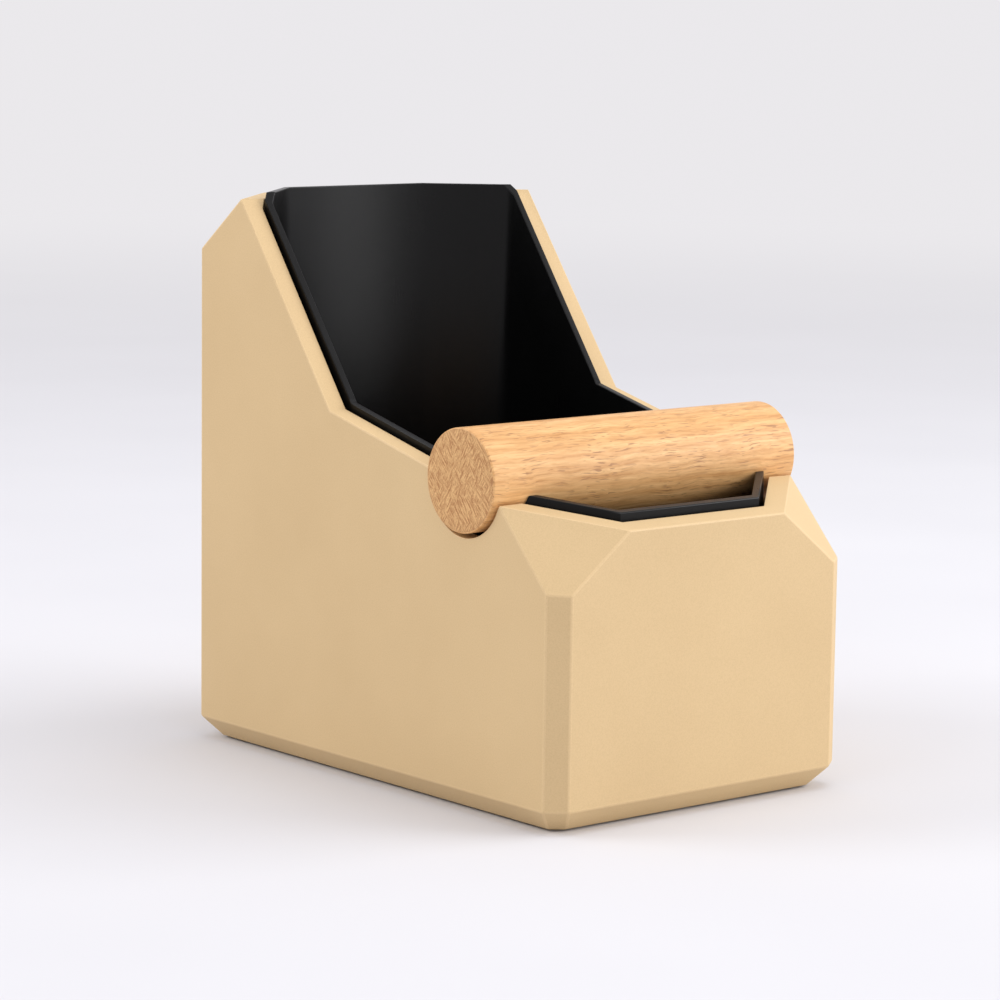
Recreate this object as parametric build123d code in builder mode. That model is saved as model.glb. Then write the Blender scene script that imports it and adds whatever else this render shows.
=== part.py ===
"""Knock box for an espresso bar: a faceted outer housing, a lift-out inner bin, a wooden knock bar.

Millimetres. X is the width, with the bar along it. -Y is the low front, where the bar lies, and
+Y is the tall back splash wall. +Z is up, and z = 0 is the counter that the feet stand on.
The origin is on the counter, under the middle of the box.
"""
import os
from math import radians, tan

from build123d import *

# ---- driving dimensions -------------------------------------------------------------------
# outer housing, seen from above
WIDTH = 110.0
DEPTH = 169.0
CORNER_X = 5.6            # upright chamfer at each corner, measured along the front or back wall
CORNER_Y = 4.4            # and along the side wall
MOUTH_CORNER_X = 26.0     # the mouth's much wider corner cuts, along the front or back wall
MOUTH_CORNER_Y = 24.5     # and along the side wall
WALL = 6.0
FLOOR = 5.0

# heights, from the counter
FOOT_STAND = 0.6          # the feet lift the housing this far
FRONT_HEIGHT = 82.0       # rim at the front wall
BACK_HEIGHT = 164.4       # rim at the back wall
KINK_Y = 16.5             # where the rim turns from the gentle slope to the steep one
KINK_HEIGHT = 106.4
SHOULDER_Y = 59.4         # where the steep slope reaches the level back rim
FRONT_FACET_FOOT = 61.7   # height at which a front corner facet would reach the square corner
BACK_FACET_FOOT = 145.2   # the same for a back corner facet
BASE_CHAMFER_IN = 5.4
BASE_CHAMFER_UP = 6.1
BASE_CORNER_X = 4.1       # the upright chamfers narrow to this at the counter
BASE_CORNER_Y = 3.2

# knock bar and its seats
BAR_RADIUS = 14.6
BAR_LENGTH = 113.4
BAR_Y = -45.3
BAR_Z = 93.3
BAR_EDGE = 0.5
SADDLE_GAP = 0.25         # round the bar in the bin's saddles, which carry it
NOTCH_RADIUS = 15.1       # the housing's notches clear the bar
NOTCH_DROP = 0.9          # and sit lower than the bar's axis

# inner bin
BIN_GAP = 0.6             # between bin and housing at the top
BIN_WALL = 2.2
BIN_FLOOR = 2.5
BIN_PROUD = 1.9           # how far the bin's rim stands out of the housing's, square to the rim
DRAFT = 0.6               # degrees the bin's walls lean in towards its floor

# rubber feet, in recesses under the floor
FOOT_RADIUS = 7.0
FOOT_RECESS = 1.2
FOOT_INSET_X = 18.0       # from the housing's side
FOOT_INSET_Y = 20.0       # from the housing's front or back

# ---- worked out -----------------------------------------------------------------------------
HALF_WIDTH = WIDTH / 2
HALF_DEPTH = DEPTH / 2
HOUSING_FLOOR_TOP = FOOT_STAND + FLOOR
BIN_BASE = HOUSING_FLOOR_TOP
BIN_TOP = BACK_HEIGHT + BIN_PROUD
GENTLE_SLOPE = (KINK_HEIGHT - FRONT_HEIGHT) / (KINK_Y + HALF_DEPTH)
MOUTH_SIDE_HEIGHT = FRONT_HEIGHT + GENTLE_SLOPE * MOUTH_CORNER_Y

os.makedirs("parts", exist_ok=True)


# ---- shapes shared by the housing and the bin -----------------------------------------------
def plan(height, x, y, corner_x, corner_y, inset=0):
    """A rectangle of half sides x and y with its corners cut off, then drawn in by inset all round."""
    corners = [
        (x, corner_y - y), (x, y - corner_y), (x - corner_x, y), (corner_x - x, y),
        (-x, y - corner_y), (-x, corner_y - y), (corner_x - x, -y), (x - corner_x, -y),
    ]
    with BuildSketch(Plane.XY.offset(height)) as outline:
        with BuildLine():
            Polyline(corners, close=True)
        make_face()
        if inset:
            offset(amount=-inset, kind=Kind.INTERSECTION, mode=Mode.REPLACE)
    return outline.sketch


def mouth(height, inset):
    """The eight-sided mouth, drawn in by inset from the housing's outside."""
    return plan(height, HALF_WIDTH, HALF_DEPTH, MOUTH_CORNER_X, MOUTH_CORNER_Y, inset)


def side_view(rise, seat_z, seat_radius):
    """The box seen from the side, its rim raised by rise, with the bar's U-shaped seat cut out."""
    outline = [
        (HALF_DEPTH, FOOT_STAND),
        (-HALF_DEPTH, FOOT_STAND),
        (-HALF_DEPTH, FRONT_HEIGHT),
        (KINK_Y, KINK_HEIGHT),
        (SHOULDER_Y, BACK_HEIGHT),
        (HALF_DEPTH, BACK_HEIGHT),
    ]
    with BuildSketch(Plane.YZ) as view:
        with BuildLine():
            Polyline(outline, close=True)
        make_face()
        if rise:
            offset(amount=rise, kind=Kind.INTERSECTION, mode=Mode.REPLACE)
        with Locations((BAR_Y, seat_z)):
            Circle(seat_radius, mode=Mode.SUBTRACT)
            Rectangle(
                2 * seat_radius,
                BACK_HEIGHT,
                align=(Align.CENTER, Align.MIN),
                mode=Mode.SUBTRACT,
            )
    return view.sketch


def bin_inset(height):
    """How far the bin's outside lies inside the housing's outside at a height."""
    return WALL + BIN_GAP + tan(radians(DRAFT)) * (BIN_TOP - height)


# ---- outer housing: a thick-walled block, its corners faceted up to the eight-sided mouth ----
with BuildPart() as outer_housing:
    skirt_top = FOOT_STAND + BASE_CHAMFER_UP
    full_plan = plan(skirt_top, HALF_WIDTH, HALF_DEPTH, CORNER_X, CORNER_Y)
    base_plan = plan(
        FOOT_STAND,
        HALF_WIDTH - BASE_CHAMFER_IN,
        HALF_DEPTH - BASE_CHAMFER_IN,
        BASE_CORNER_X,
        BASE_CORNER_Y,
    )
    loft([base_plan, full_plan], ruled=True)
    extrude(full_plan, amount=BACK_HEIGHT)
    silhouette = side_view(0, BAR_Z - NOTCH_DROP, NOTCH_RADIUS)
    extrude(silhouette, amount=HALF_WIDTH, both=True, mode=Mode.INTERSECT)
    for side in (-1, 1):
        for end, foot, end_top, side_top in (
            (-1, FRONT_FACET_FOOT, FRONT_HEIGHT, MOUTH_SIDE_HEIGHT),
            (1, BACK_FACET_FOOT, BACK_HEIGHT, BACK_HEIGHT),
        ):
            facet = Plane(
                origin=(side * HALF_WIDTH, end * HALF_DEPTH, foot),
                z_dir=(
                    side * (end_top - foot) / MOUTH_CORNER_X,
                    end * (side_top - foot) / MOUTH_CORNER_Y,
                    1,
                ),
            )
            split(bisect_by=facet, keep=Keep.BOTTOM)
    extrude(mouth(HOUSING_FLOOR_TOP, WALL), amount=BACK_HEIGHT, mode=Mode.SUBTRACT)
    with Locations(Plane.XY.offset(FOOT_STAND)):
        with GridLocations(WIDTH - 2 * FOOT_INSET_X, DEPTH - 2 * FOOT_INSET_Y, 2, 2):
            Cylinder(
                FOOT_RADIUS,
                FOOT_RECESS,
                align=(Align.CENTER, Align.CENTER, Align.MIN),
                mode=Mode.SUBTRACT,
            )
outer_housing.part.label = "outer_housing"
export_step(outer_housing.part, "parts/outer_housing.step")

# ---- inner bin: a thin drafted eight-sided tub whose rim follows the housing's --------------
with BuildPart() as inner_bin:
    outer_top = mouth(BIN_TOP, bin_inset(BIN_TOP))
    outer_base = mouth(BIN_BASE, bin_inset(BIN_BASE))
    loft([outer_base, outer_top], ruled=True)
    silhouette = side_view(BIN_PROUD, BAR_Z, BAR_RADIUS + SADDLE_GAP)
    extrude(silhouette, amount=HALF_WIDTH, both=True, mode=Mode.INTERSECT)
    inner_top = mouth(BIN_TOP, bin_inset(BIN_TOP) + BIN_WALL)
    inner_base = mouth(BIN_BASE + BIN_FLOOR, bin_inset(BIN_BASE + BIN_FLOOR) + BIN_WALL)
    loft([inner_base, inner_top], ruled=True, mode=Mode.SUBTRACT)
inner_bin.part.label = "inner_bin"
export_step(inner_bin.part, "parts/inner_bin.step")

# ---- knock bar: a round wooden bar laid across both saddles ---------------------------------
with BuildPart() as knock_bar:
    with BuildSketch(Plane.YZ.offset(-BAR_LENGTH / 2)):
        with Locations((BAR_Y, BAR_Z)):
            Circle(BAR_RADIUS)
    extrude(amount=BAR_LENGTH)
    fillet(knock_bar.edges().filter_by(GeomType.CIRCLE), BAR_EDGE)
knock_bar.part.label = "knock_bar"
export_step(knock_bar.part, "parts/knock_bar.step")

# ---- rubber feet: one disc pressed into each recess -----------------------------------------
for end, end_name in ((-1, "front"), (1, "back")):
    for side, side_name in ((-1, "left"), (1, "right")):
        name = f"foot_{end_name}_{side_name}"
        with BuildPart() as foot:
            with BuildSketch():
                with Locations((side * (HALF_WIDTH - FOOT_INSET_X), end * (HALF_DEPTH - FOOT_INSET_Y))):
                    Circle(FOOT_RADIUS)
            extrude(amount=FOOT_STAND + FOOT_RECESS)
            fillet(foot.edges().group_by(Axis.Z)[0], FOOT_STAND / 3)
        foot.part.label = name
        export_step(foot.part, f"parts/{name}.step")
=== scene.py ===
# %% [markdown]
# # An espresso knock box
#
# A barista strikes the portafilter against the wooden bar, and the spent puck drops into the bin.
# The box has three working pieces: a thick-walled moulded housing with faceted corners, a thin
# black bin that lifts out to be emptied, and a round hardwood bar that lies across both in a pair
# of notches. Four rubber feet keep it from sliding.
#
# The CAD model already holds every size, so this lesson adds only what a camera sees: softened
# edges, moulded grain, open-pored wood, and studio light.

# %% Load the CAD model as a fixed frame
from math import cos, radians, sin

import bpy
from mathutils import Matrix, Vector


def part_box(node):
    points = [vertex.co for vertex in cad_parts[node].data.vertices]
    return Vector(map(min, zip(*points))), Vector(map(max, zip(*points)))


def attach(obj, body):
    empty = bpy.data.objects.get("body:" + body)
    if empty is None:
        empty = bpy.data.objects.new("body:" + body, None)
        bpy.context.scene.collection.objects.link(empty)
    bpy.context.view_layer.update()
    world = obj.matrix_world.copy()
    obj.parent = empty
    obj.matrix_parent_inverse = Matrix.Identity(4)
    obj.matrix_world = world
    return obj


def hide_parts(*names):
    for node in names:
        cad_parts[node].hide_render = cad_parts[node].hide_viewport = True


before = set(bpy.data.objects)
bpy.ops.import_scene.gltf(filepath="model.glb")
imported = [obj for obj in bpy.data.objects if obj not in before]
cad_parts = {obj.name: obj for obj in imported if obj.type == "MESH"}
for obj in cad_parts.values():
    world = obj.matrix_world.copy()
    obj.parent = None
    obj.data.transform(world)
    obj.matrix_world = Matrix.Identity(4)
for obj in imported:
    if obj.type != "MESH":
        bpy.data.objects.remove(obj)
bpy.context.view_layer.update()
bar_low, bar_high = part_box("knock_bar")
print("CAD nodes:", sorted(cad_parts))

# %% [markdown]
# ## The viewpoint
#
# A box looks like itself when two faces and its mouth are in view. A long lens from a metre away
# keeps the upright edges parallel, as product pictures do, where a short lens would make the near
# corner bulge. The camera's turn is built from three directions: where it looks, its right, and
# its up, rolled by less than a degree as a hand-levelled tripod is.

# %% Camera
AZIMUTH, DOWN, ROLL = radians(39.835), radians(8.233), radians(0.765)
EYE = Vector((-0.6617, -0.7877, 0.2267))

look = Vector((sin(AZIMUTH) * cos(DOWN), cos(AZIMUTH) * cos(DOWN), -sin(DOWN)))
level_right = look.cross(Vector((0, 0, 1))).normalized()
level_up = level_right.cross(look)
right = level_right * cos(ROLL) + level_up * sin(ROLL)
up = level_up * cos(ROLL) - level_right * sin(ROLL)

bpy.ops.object.camera_add(location=EYE)
camera = bpy.context.object
camera.name = "viewpoint"
camera.rotation_euler = Matrix((right, up, -look)).transposed().to_euler()
camera.data.lens = 127.4
camera.data.sensor_width = 36.0
camera.data.clip_start = 0.01
camera.data.clip_end = 200.0
camera.data.dof.use_dof = False
bpy.context.scene.camera = camera
print("camera is", round(EYE.length, 3), "m from the origin")

# %% [markdown]
# ## Small helpers
#
# An operator acts on everything that is selected, so each step starts by selecting one piece only.
# Faces and edges are picked in object mode, by their place or normal, and the operator then runs
# in edit mode on that pick.


# %% Selecting
def select_only(piece):
    """Make one piece the only selected one, and the active one."""
    if bpy.context.object and bpy.context.object.mode != "OBJECT":
        bpy.ops.object.mode_set(mode="OBJECT")
    bpy.ops.object.select_all(action="DESELECT")
    piece.select_set(True)
    bpy.context.view_layer.objects.active = piece


def pick_edges(piece, wanted):
    """Leave selected only the edges whose two ends the test accepts, in edit mode."""
    select_only(piece)
    bpy.ops.object.mode_set(mode="EDIT")
    bpy.ops.mesh.select_mode(type="EDGE")
    bpy.ops.mesh.select_all(action="DESELECT")
    bpy.ops.object.mode_set(mode="OBJECT")
    spots = piece.data.vertices
    picked = 0
    for edge in piece.data.edges:
        edge.select = wanted(spots[edge.vertices[0]].co, spots[edge.vertices[1]].co)
        picked += edge.select
    bpy.ops.object.mode_set(mode="EDIT")
    return picked


def pick_faces(piece, wanted):
    """Leave selected only the faces whose centre and normal the test accepts, in edit mode."""
    select_only(piece)
    bpy.ops.object.mode_set(mode="EDIT")
    bpy.ops.mesh.select_mode(type="FACE")
    bpy.ops.mesh.select_all(action="DESELECT")
    bpy.ops.object.mode_set(mode="OBJECT")
    for face in piece.data.polygons:
        face.select = wanted(face.center, face.normal)
    bpy.ops.object.mode_set(mode="EDIT")


def settle(piece):
    """Write an object's place, turn and scale into its mesh, so the object sits at the origin."""
    select_only(piece)
    bpy.ops.object.transform_apply(location=True, rotation=True, scale=True)


bpy.ops.object.select_all(action="DESELECT")
print("helpers ready")

# %% [markdown]
# ## Rounding the moulded pieces
#
# No moulded edge is truly sharp. The tool that cuts the mould leaves a radius of about half a
# millimetre, and that radius is what catches the light as a thin line along each corner. The CAD
# mesh is loose triangles, so a copy is merged and its flat areas are joined into whole faces.
# Only then does an edge know the two faces that it lies between. A Bevel modifier could round
# everything by one width, but the outside is softer than the rim's inside, so each sharp edge
# gets its own bevel weight. A long wall with a notch in it makes one many-sided face that is hard
# to fill, so the copy is also cut across at a few places into simpler faces.


# %% A sewn copy of a CAD node
def sewn_copy(node, name, cuts):
    """A copy of a CAD node, merged, its flat areas made whole faces, then cut across its depth."""
    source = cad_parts[node]
    piece = bpy.data.objects.new(name, source.data.copy())
    bpy.context.scene.collection.objects.link(piece)
    piece.data.materials.clear()
    select_only(piece)
    bpy.ops.object.mode_set(mode="EDIT")
    bpy.ops.mesh.select_all(action="SELECT")
    bpy.ops.mesh.remove_doubles(threshold=0.0007)
    bpy.ops.mesh.dissolve_limited(angle_limit=radians(0.3))
    for cut in cuts:
        bpy.ops.mesh.select_all(action="SELECT")
        bpy.ops.mesh.bisect(plane_co=(0, cut, 0), plane_no=(0, 1, 0), threshold=1e-5)
    bpy.ops.object.mode_set(mode="OBJECT")
    print(name, "copied as", len(piece.data.polygons), "whole faces")
    return piece


def weigh_sharp_edges(piece, weight_at, sharpness=radians(20)):
    """Give each edge sharper than the limit the bevel weight that its two ends call for."""
    select_only(piece)
    bpy.ops.object.mode_set(mode="EDIT")
    bpy.ops.mesh.select_mode(type="EDGE")
    bpy.ops.mesh.select_all(action="DESELECT")
    bpy.ops.mesh.edges_select_sharp(sharpness=sharpness)
    bpy.ops.object.mode_set(mode="OBJECT")
    mesh = piece.data
    weights = mesh.attributes.new("bevel_weight_edge", "FLOAT", "EDGE")
    weighed = 0
    for edge in mesh.edges:
        if edge.select:
            ends = [mesh.vertices[i].co for i in edge.vertices]
            weight = weight_at(ends[0], ends[1])
            weights.data[edge.index].value = weight
            weighed += weight > 0
    print(piece.name, "has", weighed, "edges to round")


def round_edges(piece, width, edge_slot=-1):
    """Round the weighed edges, then shade smooth across everything but true corners."""
    bevel = piece.modifiers.new("mould radius", "BEVEL")
    bevel.limit_method = "WEIGHT"
    bevel.width = width
    bevel.segments = 3
    bevel.profile = 0.5
    bevel.use_clamp_overlap = False
    bevel.miter_outer = "MITER_SHARP"
    bevel.harden_normals = False
    bevel.material = edge_slot
    select_only(piece)
    bpy.ops.object.modifier_apply(modifier=bevel.name)
    bpy.ops.object.shade_smooth_by_angle(angle=radians(30))
    flatten = piece.modifiers.new("flat faces stay flat", "WEIGHTED_NORMAL")
    flatten.weight = 100
    flatten.keep_sharp = True
    bpy.ops.object.modifier_apply(modifier=flatten.name)
    print(piece.name, "now has", len(piece.data.polygons), "faces")


# %% [markdown]
# ### The housing
#
# The outside edges get the full radius. The inside edge of the rim and the lips of the notches are
# crisper, and the kinks where the rim turns from gentle to steep are left as they are, because they
# are folds between two planes and not corners that a hand could touch. The strips that the bevel
# makes are sent to a second material slot, whose paler tan is a painted highlight along each edge.

# %% Housing
EDGE_ROUND = 0.0005
KINK, SHOULDER = 0.0165, 0.0594
CUTS = (-0.070, -0.062, -0.024, -0.010, KINK, 0.040, SHOULDER)
# where the rim's folds lie, the mouth's half sides, the notches' limits, and the recessed underside
FOLDS_FROM, FOLDS_TO, FOLDS_ABOVE = 0.010, 0.064, 0.100
MOUTH_X, MOUTH_Y = 0.0492, 0.0786
NOTCH_FRONT, NOTCH_BACK, NOTCH_FOOT, NOTCH_X = -0.0615, -0.0290, 0.076, 0.0556
UNDER_X, UNDER_Y, UNDER_TOP = 0.044, 0.073, 0.008
NEARLY_UPRIGHT, NEARLY_ACROSS = 0.98, 0.9

housing = sewn_copy("outer_housing", "housing_shell", CUTS)


def is_upright(a, b):
    """Whether an edge stands up."""
    return abs(a.z - b.z) > NEARLY_UPRIGHT * (a - b).length


def is_fold(a, b):
    """Whether an edge is a kink that runs straight across the rim."""
    mid = (a + b) / 2
    across = abs(a.x - b.x) > NEARLY_ACROSS * (a - b).length
    return across and FOLDS_FROM < mid.y < FOLDS_TO and mid.z > FOLDS_ABOVE


def housing_weight(a, b):
    """Full rounding outside, half on the rim's inner edge and the notches, none on the kinks."""
    mid = (a + b) / 2
    under = max(a.z, b.z) < UNDER_TOP and abs(mid.x) < UNDER_X and abs(mid.y) < UNDER_Y
    inner = abs(mid.x) < MOUTH_X and abs(mid.y) < MOUTH_Y
    if under or is_fold(a, b) or (inner and is_upright(a, b)):
        return 0.0
    lip = NOTCH_FRONT < mid.y < NOTCH_BACK and mid.z > NOTCH_FOOT and abs(mid.x) < NOTCH_X
    return 0.5 if inner or lip else 1.0


weigh_sharp_edges(housing, housing_weight)
# the second slot's paler tan paints a highlight along the rounded edges
for finish_name in ("tan_moulded_plastic", "tan_plastic_painted_edge_highlight"):
    housing.data.materials.append(bpy.data.materials.new(finish_name))
round_edges(housing, EDGE_ROUND, edge_slot=1)
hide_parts("outer_housing")
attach(housing, "housing")

# %% [markdown]
# ### The bin
#
# The bin is a thin wall, so its rim is rounded by much less than the housing's, or the whole rim
# would turn into a roll. It also stands a little higher than the housing, so that two fingers can
# lift it out.

# %% Bin
BIN_ROUND = 0.0003
BIN_FLOOR_ZONE = 0.010

bin_tub = sewn_copy("inner_bin", "lift_out_bin", CUTS)


def bin_weight(a, b):
    """Rounding all along the rim, none on the upright folds, the kinks or the floor."""
    near_floor = max(a.z, b.z) < BIN_FLOOR_ZONE
    return 0.0 if near_floor or is_fold(a, b) or is_upright(a, b) else 1.0


weigh_sharp_edges(bin_tub, bin_weight)
round_edges(bin_tub, BIN_ROUND)
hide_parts("inner_bin")
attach(bin_tub, "bin")

# %% [markdown]
# ## The knock bar
#
# The bar is a length of turned hardwood. A cylinder is the right start: its end rims are then
# eased with a bevel, as a woodworker breaks the edge with sandpaper, and rings of faces are inset
# into its two ends, which would otherwise each be a single face with 128 sides. The ends later get
# a material of their own, because wood looks quite different across the grain.

# %% Turn the bar
bar_size = bar_high - bar_low
bar_middle = (bar_low + bar_high) / 2

bpy.ops.object.select_all(action="DESELECT")
bpy.ops.mesh.primitive_cylinder_add(
    vertices=128,
    radius=bar_size.z / 2,
    depth=bar_size.x,
    end_fill_type="NGON",
    location=bar_middle,
    rotation=(0, radians(90), 0),
)
bar = bpy.context.object
bar.name = "wooden_bar"
settle(bar)
print("bar is", round(bar_size.x * 1000, 1), "mm long and", round(bar_size.z * 1000, 1), "mm thick")

# %% Ease its ends
BAR_EASE = 0.0006

picked = pick_edges(bar, lambda a, b: abs(a.x - b.x) < 1e-5)
bpy.ops.mesh.bevel(offset=BAR_EASE, segments=4, profile=0.5, affect="EDGES")
bpy.ops.object.mode_set(mode="OBJECT")
print("eased", picked, "rim edges")

# %% Cap the ends with rings of faces
END_RINGS, RING_WIDTH = 3, 0.0035

for end in (-1, 1):
    pick_faces(bar, lambda centre, normal: normal.x * end > 0.999)
    for ring in range(END_RINGS):
        bpy.ops.mesh.inset(thickness=RING_WIDTH)
    bpy.ops.mesh.poke()
    bpy.ops.object.mode_set(mode="OBJECT")
select_only(bar)
bpy.ops.object.shade_smooth_by_angle(angle=radians(30))
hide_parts("knock_bar")
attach(bar, "bar")
print("bar has", len(bar.data.polygons), "faces")

# %% [markdown]
# ## The rubber feet
#
# Each foot is a small disc pressed into a recess. One is made well and copied three times, each
# copy with its own mesh. The ground edge is rounded, and a shallow dish is pushed up under it: a
# moulded foot grips by its rim.

# %% One foot, copied to its four places
FOOT_EASE, FOOT_RIM, DISH_SIDE, DISH_RISE = 0.0002, 0.0018, 0.0006, 0.0003

foot_nodes = ["foot_front_left", "foot_front_right", "foot_back_left", "foot_back_right"]
first_low, first_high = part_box(foot_nodes[0])
foot_size = first_high - first_low
foot_middle = (first_low + first_high) / 2

bpy.ops.object.select_all(action="DESELECT")
bpy.ops.mesh.primitive_cylinder_add(
    vertices=64, radius=foot_size.x / 2, depth=foot_size.z, location=foot_middle
)
first_foot = bpy.context.object
first_foot.name = "rubber_foot_front_left"
settle(first_foot)
pick_edges(first_foot, lambda a, b: max(a.z, b.z) < 0.0001)
bpy.ops.mesh.bevel(offset=FOOT_EASE, segments=3, affect="EDGES")
pick_faces(first_foot, lambda centre, normal: normal.z < -0.999)
bpy.ops.mesh.inset(thickness=FOOT_RIM)
bpy.ops.mesh.inset(thickness=DISH_SIDE)
bpy.ops.transform.translate(value=(0, 0, DISH_RISE))
bpy.ops.object.mode_set(mode="OBJECT")
select_only(first_foot)
bpy.ops.object.shade_smooth_by_angle(angle=radians(35))

feet = [first_foot]
for node in foot_nodes[1:]:
    low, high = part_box(node)
    foot = bpy.data.objects.new("rubber_" + node, first_foot.data.copy())
    bpy.context.scene.collection.objects.link(foot)
    foot.location = (low + high) / 2 - foot_middle
    settle(foot)
    feet.append(foot)
for foot, node in zip(feet, foot_nodes):
    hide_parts(node)
    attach(foot, "housing")
print(len(feet), "feet, each", round(foot_size.x * 1000, 1), "mm across")

# %% [markdown]
# ## Finishes
#
# Every finish is built from noise read on Object coordinates, so the pattern is fixed in the
# material and cuts through the piece as real grain does. A few small helpers each add a node and
# wire it up, which keeps each recipe short enough to read.


# %% Material helpers
def new_finish(name):
    """The material of that name, made if need be, with just the shader and the output in it."""
    finish = bpy.data.materials.get(name) or bpy.data.materials.new(name)
    finish.use_nodes = True
    nodes = finish.node_tree.nodes
    shader = nodes["Principled BSDF"]
    return finish, nodes, finish.node_tree.links, shader


def add_node(nodes, kind, **sockets):
    """Add a node and set its named inputs."""
    node = nodes.new(kind)
    for name, value in sockets.items():
        node.inputs[name.replace("_", " ")].default_value = value
    return node


def two_tone(nodes, links, factor, low, high, low_at, high_at):
    """A colour ramp from one colour to another, between two levels of a factor."""
    ramp = nodes.new("ShaderNodeValToRGB")
    ramp.color_ramp.elements[0].position = low_at
    ramp.color_ramp.elements[0].color = (*low, 1)
    ramp.color_ramp.elements[1].position = high_at
    ramp.color_ramp.elements[1].color = (*high, 1)
    links.new(factor, ramp.inputs["Fac"])
    return ramp.outputs["Color"]


def noise(nodes, links, vector, scale, detail=2.0, roughness=0.5):
    """A noise texture read at the given coordinates."""
    texture = add_node(nodes, "ShaderNodeTexNoise", Scale=scale, Detail=detail, Roughness=roughness)
    links.new(vector, texture.inputs["Vector"])
    return texture.outputs["Fac"]


def ramp_value(nodes, links, factor, low_at, high_at, low=0.0, high=1.0):
    """A factor cut down to what lies between two levels, then stretched to a new range."""
    change = nodes.new("ShaderNodeMapRange")
    change.inputs["From Min"].default_value = low_at
    change.inputs["From Max"].default_value = high_at
    change.inputs["To Min"].default_value = low
    change.inputs["To Max"].default_value = high
    links.new(factor, change.inputs["Value"])
    return change.outputs["Result"]


def tint(nodes, links, blend, factor, below, above):
    """Lay one colour over another by a factor; either the factor or the top colour may be fixed."""
    mix = nodes.new("ShaderNodeMix")
    mix.data_type = "RGBA"
    mix.blend_type = blend
    if isinstance(factor, float):
        mix.inputs["Factor"].default_value = factor
    else:
        links.new(factor, mix.inputs["Factor"])
    links.new(below, mix.inputs["A"])
    if isinstance(above, tuple):
        mix.inputs["B"].default_value = (*above, 1)
    else:
        links.new(above, mix.inputs["B"])
    return mix.outputs["Result"]


def raise_grain(nodes, links, shader, height, strength, distance):
    """Turn a height into relief: fine bumps that only the light sees."""
    relief = add_node(nodes, "ShaderNodeBump", Strength=strength, Distance=distance)
    links.new(height, relief.inputs["Height"])
    links.new(relief.outputs["Normal"], shader.inputs["Normal"])


print("material helpers ready")

# %% [markdown]
# ### Tan moulded plastic
#
# The housing is a filled plastic with a dry, eggshell surface. Its colour drifts by a percent or
# two over centimetres, and a fine spark-eroded grain, under half a millimetre, breaks up the
# highlight. The drift goes in the colour and the grain goes in the bump and the roughness. The
# rounded edges get the same recipe in a paler, smoother version: the paler tan is a painted
# highlight along them.


# %% Tan plastic
def tan_recipe(name, low, high, smooth, dry, grain_depth):
    """Filled plastic between two tones, with roughness from smooth to dry and a moulded grain."""
    finish, nodes, links, shader = new_finish(name)
    place = nodes.new("ShaderNodeTexCoord").outputs["Object"]
    drift = noise(nodes, links, place, 28.0, 3.0, 0.55)
    grain = noise(nodes, links, place, 2600.0, 3.0, 0.6)
    body = two_tone(nodes, links, drift, low, high, 0.3, 0.7)
    speckle = two_tone(nodes, links, grain, (0.93, 0.92, 0.90), (1.0, 1.0, 1.0), 0.35, 0.6)
    colour = tint(nodes, links, "MULTIPLY", 1.0, body, speckle)
    links.new(colour, shader.inputs["Base Color"])
    dryness = ramp_value(nodes, links, grain, 0.3, 0.7, smooth, dry)
    links.new(dryness, shader.inputs["Roughness"])
    shader.inputs["Specular IOR Level"].default_value = 0.4
    raise_grain(nodes, links, shader, grain, grain_depth, 0.00004)
    print("housing finish:", name)


tan_recipe("tan_moulded_plastic", (0.632, 0.454, 0.239), (0.660, 0.478, 0.255), 0.52, 0.66, 0.35)
# the paler tan of the rounded edges is a painted highlight; their lower roughness is real
tan_recipe("tan_plastic_painted_edge_highlight", (0.682, 0.493, 0.264), (0.708, 0.514, 0.278), 0.42, 0.54, 0.15)

# %% [markdown]
# ### Satin black plastic
#
# The bin is almost black. What the eye reads is the sheen of the studio on it, so the colour is
# very low and the roughness does the work, with fine rubbing marks where pucks slide down. The
# marks are a noise stretched upright: scaling its coordinates down on Z draws it out along Z.


# %% Black plastic
def stretched(nodes, links, source, scale, shift=(0, 0, 0), turn=0.0):
    """The coordinates moved, turned about X, and scaled by a different amount on each axis."""
    space = nodes.new("ShaderNodeMapping")
    space.inputs["Location"].default_value = shift
    space.inputs["Rotation"].default_value = (radians(turn), 0.0, 0.0)
    space.inputs["Scale"].default_value = scale
    links.new(source, space.inputs["Vector"])
    return space.outputs["Vector"]


black_plastic, nodes, links, shader = new_finish("satin_black_plastic")
place = nodes.new("ShaderNodeTexCoord").outputs["Object"]
cloud = noise(nodes, links, place, 45.0, 4.0, 0.6)
grain = noise(nodes, links, place, 3200.0, 2.0, 0.5)
upright = stretched(nodes, links, place, (1.0, 1.0, 0.06))
rub = noise(nodes, links, upright, 1400.0, 3.0, 0.6)
colour = two_tone(
    nodes, links, cloud, (0.0022, 0.0022, 0.0023), (0.0034, 0.0034, 0.0035), 0.3, 0.7
)
links.new(colour, shader.inputs["Base Color"])
worn = nodes.new("ShaderNodeMix")
worn.data_type = "FLOAT"
worn.inputs["Factor"].default_value = 0.5
links.new(ramp_value(nodes, links, cloud, 0.3, 0.7, 0.27, 0.34), worn.inputs["A"])
links.new(ramp_value(nodes, links, rub, 0.3, 0.7, 0.26, 0.36), worn.inputs["B"])
links.new(worn.outputs["Result"], shader.inputs["Roughness"])
shader.inputs["Specular IOR Level"].default_value = 0.19
raise_grain(nodes, links, shader, grain, 0.25, 0.00003)
bin_tub.data.materials.append(black_plastic)
print("bin finish:", black_plastic.name)

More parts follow.
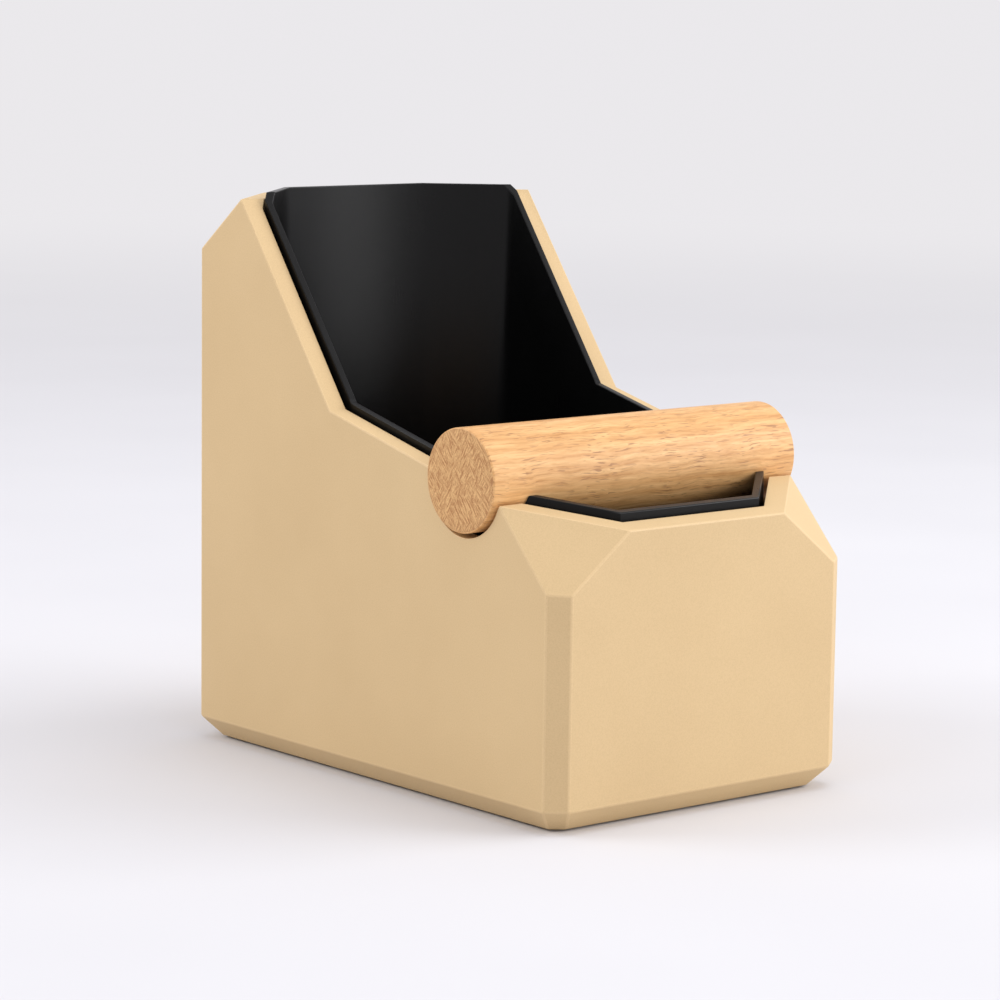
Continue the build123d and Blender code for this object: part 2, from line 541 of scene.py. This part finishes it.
# %% [markdown]
# ### Wood along the grain
#
# A turned bar is a stick cut out of a much thicker trunk, so its year rings are slices of wide
# circles whose centre lies outside the bar. Rings are drawn round that centre, then bent by a
# noise that is stretched along the bar, because a tree grows nearly straight. They are kept faint:
# this is a plain, even wood, and most of what the eye follows is finer. Pores are a second noise,
# stretched so that each is a dash a millimetre or two long, with only its peaks kept. A third,
# wide noise lets the dashes through in some places and holds them back in others, because pores
# crowd together in the wood that grew in spring.


# %% Long grain
def calculate(nodes, links, operation, a, b):
    """Arithmetic on two factors."""
    sum_node = nodes.new("ShaderNodeMath")
    sum_node.operation = operation
    links.new(a, sum_node.inputs[0])
    links.new(b, sum_node.inputs[1])
    return sum_node.outputs["Value"]


long_grain, nodes, links, shader = new_finish("wood_along_the_grain")
place = nodes.new("ShaderNodeTexCoord").outputs["Object"]
TO_TRUNK_CENTRE = (0.0, 0.062, -0.050)
trunk = stretched(nodes, links, place, (0.12, 1.0, 1.0), TO_TRUNK_CENTRE)
sway = add_node(nodes, "ShaderNodeTexNoise", Scale=60.0, Detail=3.0, Roughness=0.55)
links.new(trunk, sway.inputs["Vector"])
bend = nodes.new("ShaderNodeVectorMath")
bend.operation = "MULTIPLY_ADD"
bend.inputs[1].default_value = (0.005, 0.005, 0.005)
links.new(sway.outputs["Color"], bend.inputs[0])
links.new(trunk, bend.inputs[2])
bent = bend.outputs["Vector"]

rings = add_node(
    nodes, "ShaderNodeTexWave", Scale=105.0, Distortion=1.6, Detail=3.0, Detail_Scale=1.8
)
rings.wave_type = "RINGS"
rings.rings_direction = "X"
links.new(bent, rings.inputs["Vector"])

wavy = add_node(nodes, "ShaderNodeTexNoise", Scale=90.0, Detail=2.0, Roughness=0.5)
links.new(place, wavy.inputs["Vector"])
wander = nodes.new("ShaderNodeVectorMath")
wander.operation = "MULTIPLY_ADD"
wander.inputs[1].default_value = (0.0, 0.0022, 0.0022)
links.new(wavy.outputs["Color"], wander.inputs[0])
links.new(place, wander.inputs[2])
wandering = wander.outputs["Vector"]

fibre = noise(nodes, links, stretched(nodes, links, wandering, (0.06, 1, 1)), 1800.0, 4.0, 0.62)
streak = noise(nodes, links, stretched(nodes, links, wandering, (0.035, 1, 1)), 680.0, 3.0, 0.55)
pores = noise(nodes, links, stretched(nodes, links, wandering, (0.075, 1, 1)), 2500.0, 1.0, 0.4)
crowd = noise(nodes, links, stretched(nodes, links, place, (0.5, 1, 1)), 170.0, 2.0, 0.5)

pore_peaks = ramp_value(nodes, links, pores, 0.585, 0.665)
pore_mask = calculate(
    nodes, links, "MULTIPLY", pore_peaks, ramp_value(nodes, links, crowd, 0.40, 0.60, 0.15, 0.85)
)
colour = two_tone(
    nodes, links, rings.outputs["Fac"], (0.780, 0.462, 0.196), (0.725, 0.405, 0.160), 0.1, 0.9
)
colour = tint(
    nodes, links, "MULTIPLY", 1.0, colour,
    two_tone(nodes, links, streak, (0.84, 0.76, 0.66), (1.03, 1.04, 1.05), 0.34, 0.60),
)
colour = tint(
    nodes, links, "MULTIPLY", 1.0, colour,
    two_tone(nodes, links, fibre, (0.86, 0.80, 0.72), (1.03, 1.03, 1.03), 0.32, 0.58),
)
colour = tint(nodes, links, "MIX", pore_mask, colour, (0.36, 0.165, 0.060))
links.new(colour, shader.inputs["Base Color"])
links.new(ramp_value(nodes, links, fibre, 0.3, 0.7, 0.58, 0.44), shader.inputs["Roughness"])
surface = calculate(nodes, links, "SUBTRACT", fibre, pore_mask)
raise_grain(nodes, links, shader, surface, 0.4, 0.00006)
bar.data.materials.append(long_grain)
print("bar side finish:", long_grain.name)

# %% [markdown]
# ### Wood across the grain
#
# A saw tears the fibres of an end, so its surface is a felt of short strokes that lean one way in
# one patch and another way in the next. Two noises are stretched along different directions in the
# plane of the end, and a third decides which of them shows where. The rim of the end is darker,
# because that is where the sanding stops and the oil gathers.

# %% End grain
TO_BAR_AXIS = (0.0, -bar_middle.y, -bar_middle.z)
RIM_FROM, RIM_TO = 0.0134, 0.0144

end_grain, nodes, links, shader = new_finish("wood_end_grain")
place = nodes.new("ShaderNodeTexCoord").outputs["Object"]
face_centre = stretched(nodes, links, place, (1, 1, 1), TO_BAR_AXIS)
turned_left = stretched(nodes, links, face_centre, (1, 1, 1), turn=38)
turned_right = stretched(nodes, links, face_centre, (1, 1, 1), turn=-30)
lean_left = noise(nodes, links, stretched(nodes, links, turned_left, (1, 1, 0.18)), 1850.0)
lean_right = noise(nodes, links, stretched(nodes, links, turned_right, (1, 1, 0.18)), 1850.0)
patch = ramp_value(nodes, links, noise(nodes, links, face_centre, 330.0, 2.0), 0.46, 0.54)
stroke_mix = nodes.new("ShaderNodeMix")
stroke_mix.data_type = "FLOAT"
links.new(patch, stroke_mix.inputs["Factor"])
links.new(lean_left, stroke_mix.inputs["A"])
links.new(lean_right, stroke_mix.inputs["B"])
strokes = stroke_mix.outputs["Result"]
speckle = noise(nodes, links, face_centre, 2400.0, 2.0, 0.6)

colour = two_tone(nodes, links, strokes, (0.420, 0.200, 0.073), (0.700, 0.425, 0.180), 0.36, 0.62)
colour = tint(
    nodes, links, "MULTIPLY", 1.0, colour,
    two_tone(nodes, links, speckle, (0.84, 0.80, 0.76), (1.06, 1.06, 1.06), 0.36, 0.62),
)
flat_place = stretched(nodes, links, face_centre, (0, 1, 1))
from_axis = nodes.new("ShaderNodeVectorMath")
from_axis.operation = "LENGTH"
links.new(flat_place, from_axis.inputs[0])
rim = ramp_value(nodes, links, from_axis.outputs["Value"], RIM_FROM, RIM_TO, 0.0, 0.45)
colour = tint(nodes, links, "MIX", rim, colour, (0.42, 0.210, 0.080))
links.new(colour, shader.inputs["Base Color"])
links.new(ramp_value(nodes, links, strokes, 0.3, 0.7, 0.80, 0.62), shader.inputs["Roughness"])
raise_grain(nodes, links, shader, strokes, 0.5, 0.00006)
bar.data.materials.append(end_grain)
pick_faces(bar, lambda centre, normal: abs(normal.x) > 0.98)
bar.active_material_index = 1
bpy.ops.object.material_slot_assign()
bpy.ops.object.mode_set(mode="OBJECT")
print("end grain on", sum(face.material_index == 1 for face in bar.data.polygons), "faces")

# %% [markdown]
# ### Rubber
#
# The feet are matte black rubber. A soft noise in the roughness keeps them from looking like
# plastic when the box is turned over.

# %% Rubber
rubber, nodes, links, shader = new_finish("matte_rubber")
place = nodes.new("ShaderNodeTexCoord").outputs["Object"]
bloom = noise(nodes, links, place, 900.0, 3.0, 0.6)
colour = two_tone(nodes, links, bloom, (0.022, 0.022, 0.023), (0.034, 0.033, 0.032), 0.3, 0.7)
links.new(colour, shader.inputs["Base Color"])
links.new(ramp_value(nodes, links, bloom, 0.3, 0.7, 0.72, 0.88), shader.inputs["Roughness"])
raise_grain(nodes, links, shader, bloom, 0.3, 0.00005)
for foot in feet:
    foot.data.materials.append(rubber)
print("feet finish:", rubber.name)

# %% [markdown]
# ## The studio
#
# The box stands on a pale, seamless table. The floor is very large, and within a few metres it
# fades into a glow of the background's own colour, so no horizon shows. Light comes from big
# softboxes on both sides, so that the face turned to each side is bright and the narrow corner
# between them stays darker. One overhead lifts the rim and the top of the bar, and a weak one
# fills the near end of the left side.

# %% Floor and background
FLOOR_RADIUS = 40.0
FADE_FROM, FADE_TO = 0.35, 2.5
BACKDROP, BACKDROP_GLOW = (0.90, 0.883, 0.908, 1), 0.92

bpy.ops.object.select_all(action="DESELECT")
bpy.ops.mesh.primitive_circle_add(
    vertices=96, radius=FLOOR_RADIUS, fill_type="NGON", location=(0, 0, 0)
)
floor = bpy.context.object
floor.name = "studio_floor"

floor_paint, nodes, links, shader = new_finish("pale_seamless_paper")
place = nodes.new("ShaderNodeTexCoord").outputs["Object"]
tooth = noise(nodes, links, place, 6.0)
colour = two_tone(nodes, links, tooth, (0.655, 0.655, 0.683), (0.675, 0.675, 0.703), 0.3, 0.7)
links.new(colour, shader.inputs["Base Color"])
shader.inputs["Roughness"].default_value = 0.9
shader.inputs["Specular IOR Level"].default_value = 0.1

far_away = nodes.new("ShaderNodeVectorMath")
far_away.operation = "LENGTH"
links.new(place, far_away.inputs[0])
fade = nodes.new("ShaderNodeMapRange")
fade.interpolation_type = "SMOOTHSTEP"
fade.inputs["From Min"].default_value = FADE_FROM
fade.inputs["From Max"].default_value = FADE_TO
links.new(far_away.outputs["Value"], fade.inputs["Value"])
glow = nodes.new("ShaderNodeEmission")
glow.inputs["Color"].default_value = BACKDROP
glow.inputs["Strength"].default_value = BACKDROP_GLOW
blend = nodes.new("ShaderNodeMixShader")
links.new(fade.outputs["Result"], blend.inputs["Fac"])
links.new(shader.outputs["BSDF"], blend.inputs[1])
links.new(glow.outputs["Emission"], blend.inputs[2])
links.new(blend.outputs["Shader"], nodes["Material Output"].inputs["Surface"])
floor.data.materials.append(floor_paint)

studio = bpy.data.worlds.new("studio_air")
studio.use_nodes = True
air = studio.node_tree.nodes["Background"]
air.inputs["Color"].default_value = BACKDROP
air.inputs["Strength"].default_value = BACKDROP_GLOW
bpy.context.scene.world = studio
bpy.context.scene.view_settings.view_transform = "Standard"
print("floor radius", FLOOR_RADIUS, "m")


# %% Softboxes
AIM = Vector((0, 0, 0.08))
SOFTBOXES = (  # name, turn and height in degrees, distance and side in metres, power in watts
    ("right_low_softbox", 140, 14, 1.7, 0.7, 7.2),
    ("right_high_softbox", 140, 32, 1.7, 0.7, 3.5),
    ("right_side_softbox", 115, 25, 1.7, 0.7, 7.5),
    ("left_rear_softbox", 310, 35, 1.7, 0.8, 8.6),
    ("overhead_softbox", 140, 78, 1.5, 0.8, 4.8),
    ("left_fill_softbox", 262, 30, 1.7, 0.7, 1.6),
)


def softbox(name, turn, height, distance, side, power):
    """A square area light, placed by compass turn and height in degrees, that faces the box."""
    out = Vector(
        (
            sin(radians(turn)) * cos(radians(height)),
            cos(radians(turn)) * cos(radians(height)),
            sin(radians(height)),
        )
    )
    bpy.ops.object.light_add(type="AREA", location=AIM + out * distance)
    light = bpy.context.object
    light.name = name
    light.data.shape = "SQUARE"
    light.data.size = side
    light.data.energy = power
    light.rotation_euler = (-out).to_track_quat("-Z", "Y").to_euler()


for row in SOFTBOXES:
    softbox(*row)
print(len(SOFTBOXES), "softboxes")
